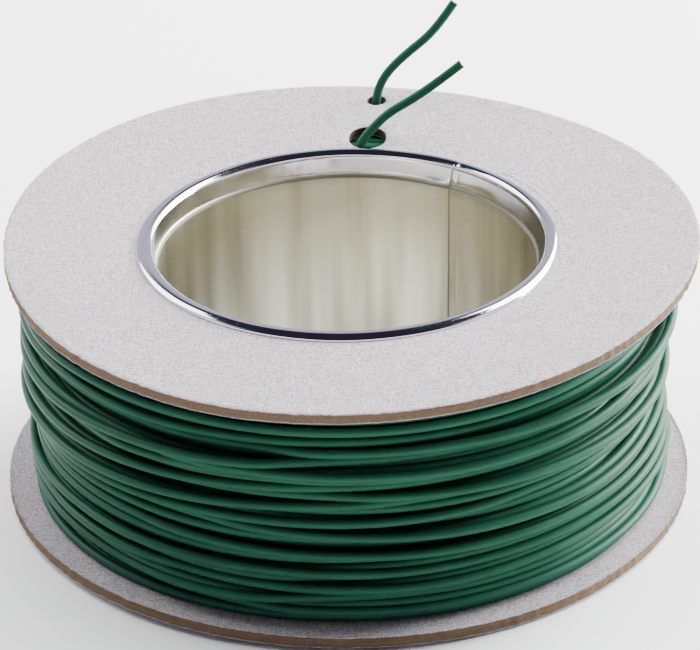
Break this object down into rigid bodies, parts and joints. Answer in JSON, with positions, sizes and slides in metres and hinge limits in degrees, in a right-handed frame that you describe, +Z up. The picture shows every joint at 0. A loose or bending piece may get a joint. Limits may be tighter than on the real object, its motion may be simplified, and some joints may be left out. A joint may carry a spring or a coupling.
{
  "type": "wire spool",
  "caption": "Round reel of insulated wire: laminated board flanges curled onto a hollow sheet-metal core, wire wound between them, free ends up through flange holes.",
  "frame": {"origin": "centre of the bottom rim's resting face, on the reel's axis", "axes": "+Z up along the reel's axis; +Y towards the two wire holes in the top flange, which lie about 5 degrees on its +X side"},
  "size_m": [0.2, 0.2, 0.1086],
  "materials": {
    "liner_paper": "matt pale grey paper with fine recycled fibres",
    "greyboard": "raw brown-grey board, fibrous where it is cut",
    "tinplate": "bright rolled tinplate, satin along the rolling direction, polished by forming at the rims",
    "wire_insulation": "dark green extruded plastic, semi-gloss",
    "copper": "bare copper strands, cut square"
  },
  "bodies": {
    "root": {"bottom_flange_outer_liner": "liner_paper", "bottom_flange_board": "greyboard", "bottom_flange_inner_liner": "liner_paper", "top_flange_inner_liner": "liner_paper", "top_flange_board": "greyboard", "top_flange_outer_liner": "liner_paper", "core_barrel": "tinplate", "wire_winding": "wire_insulation", "outer_tail_insulation": "wire_insulation", "outer_tail_conductor": "copper", "inner_tail_insulation": "wire_insulation", "inner_tail_conductor": "copper"}
  },
  "joints": []
}
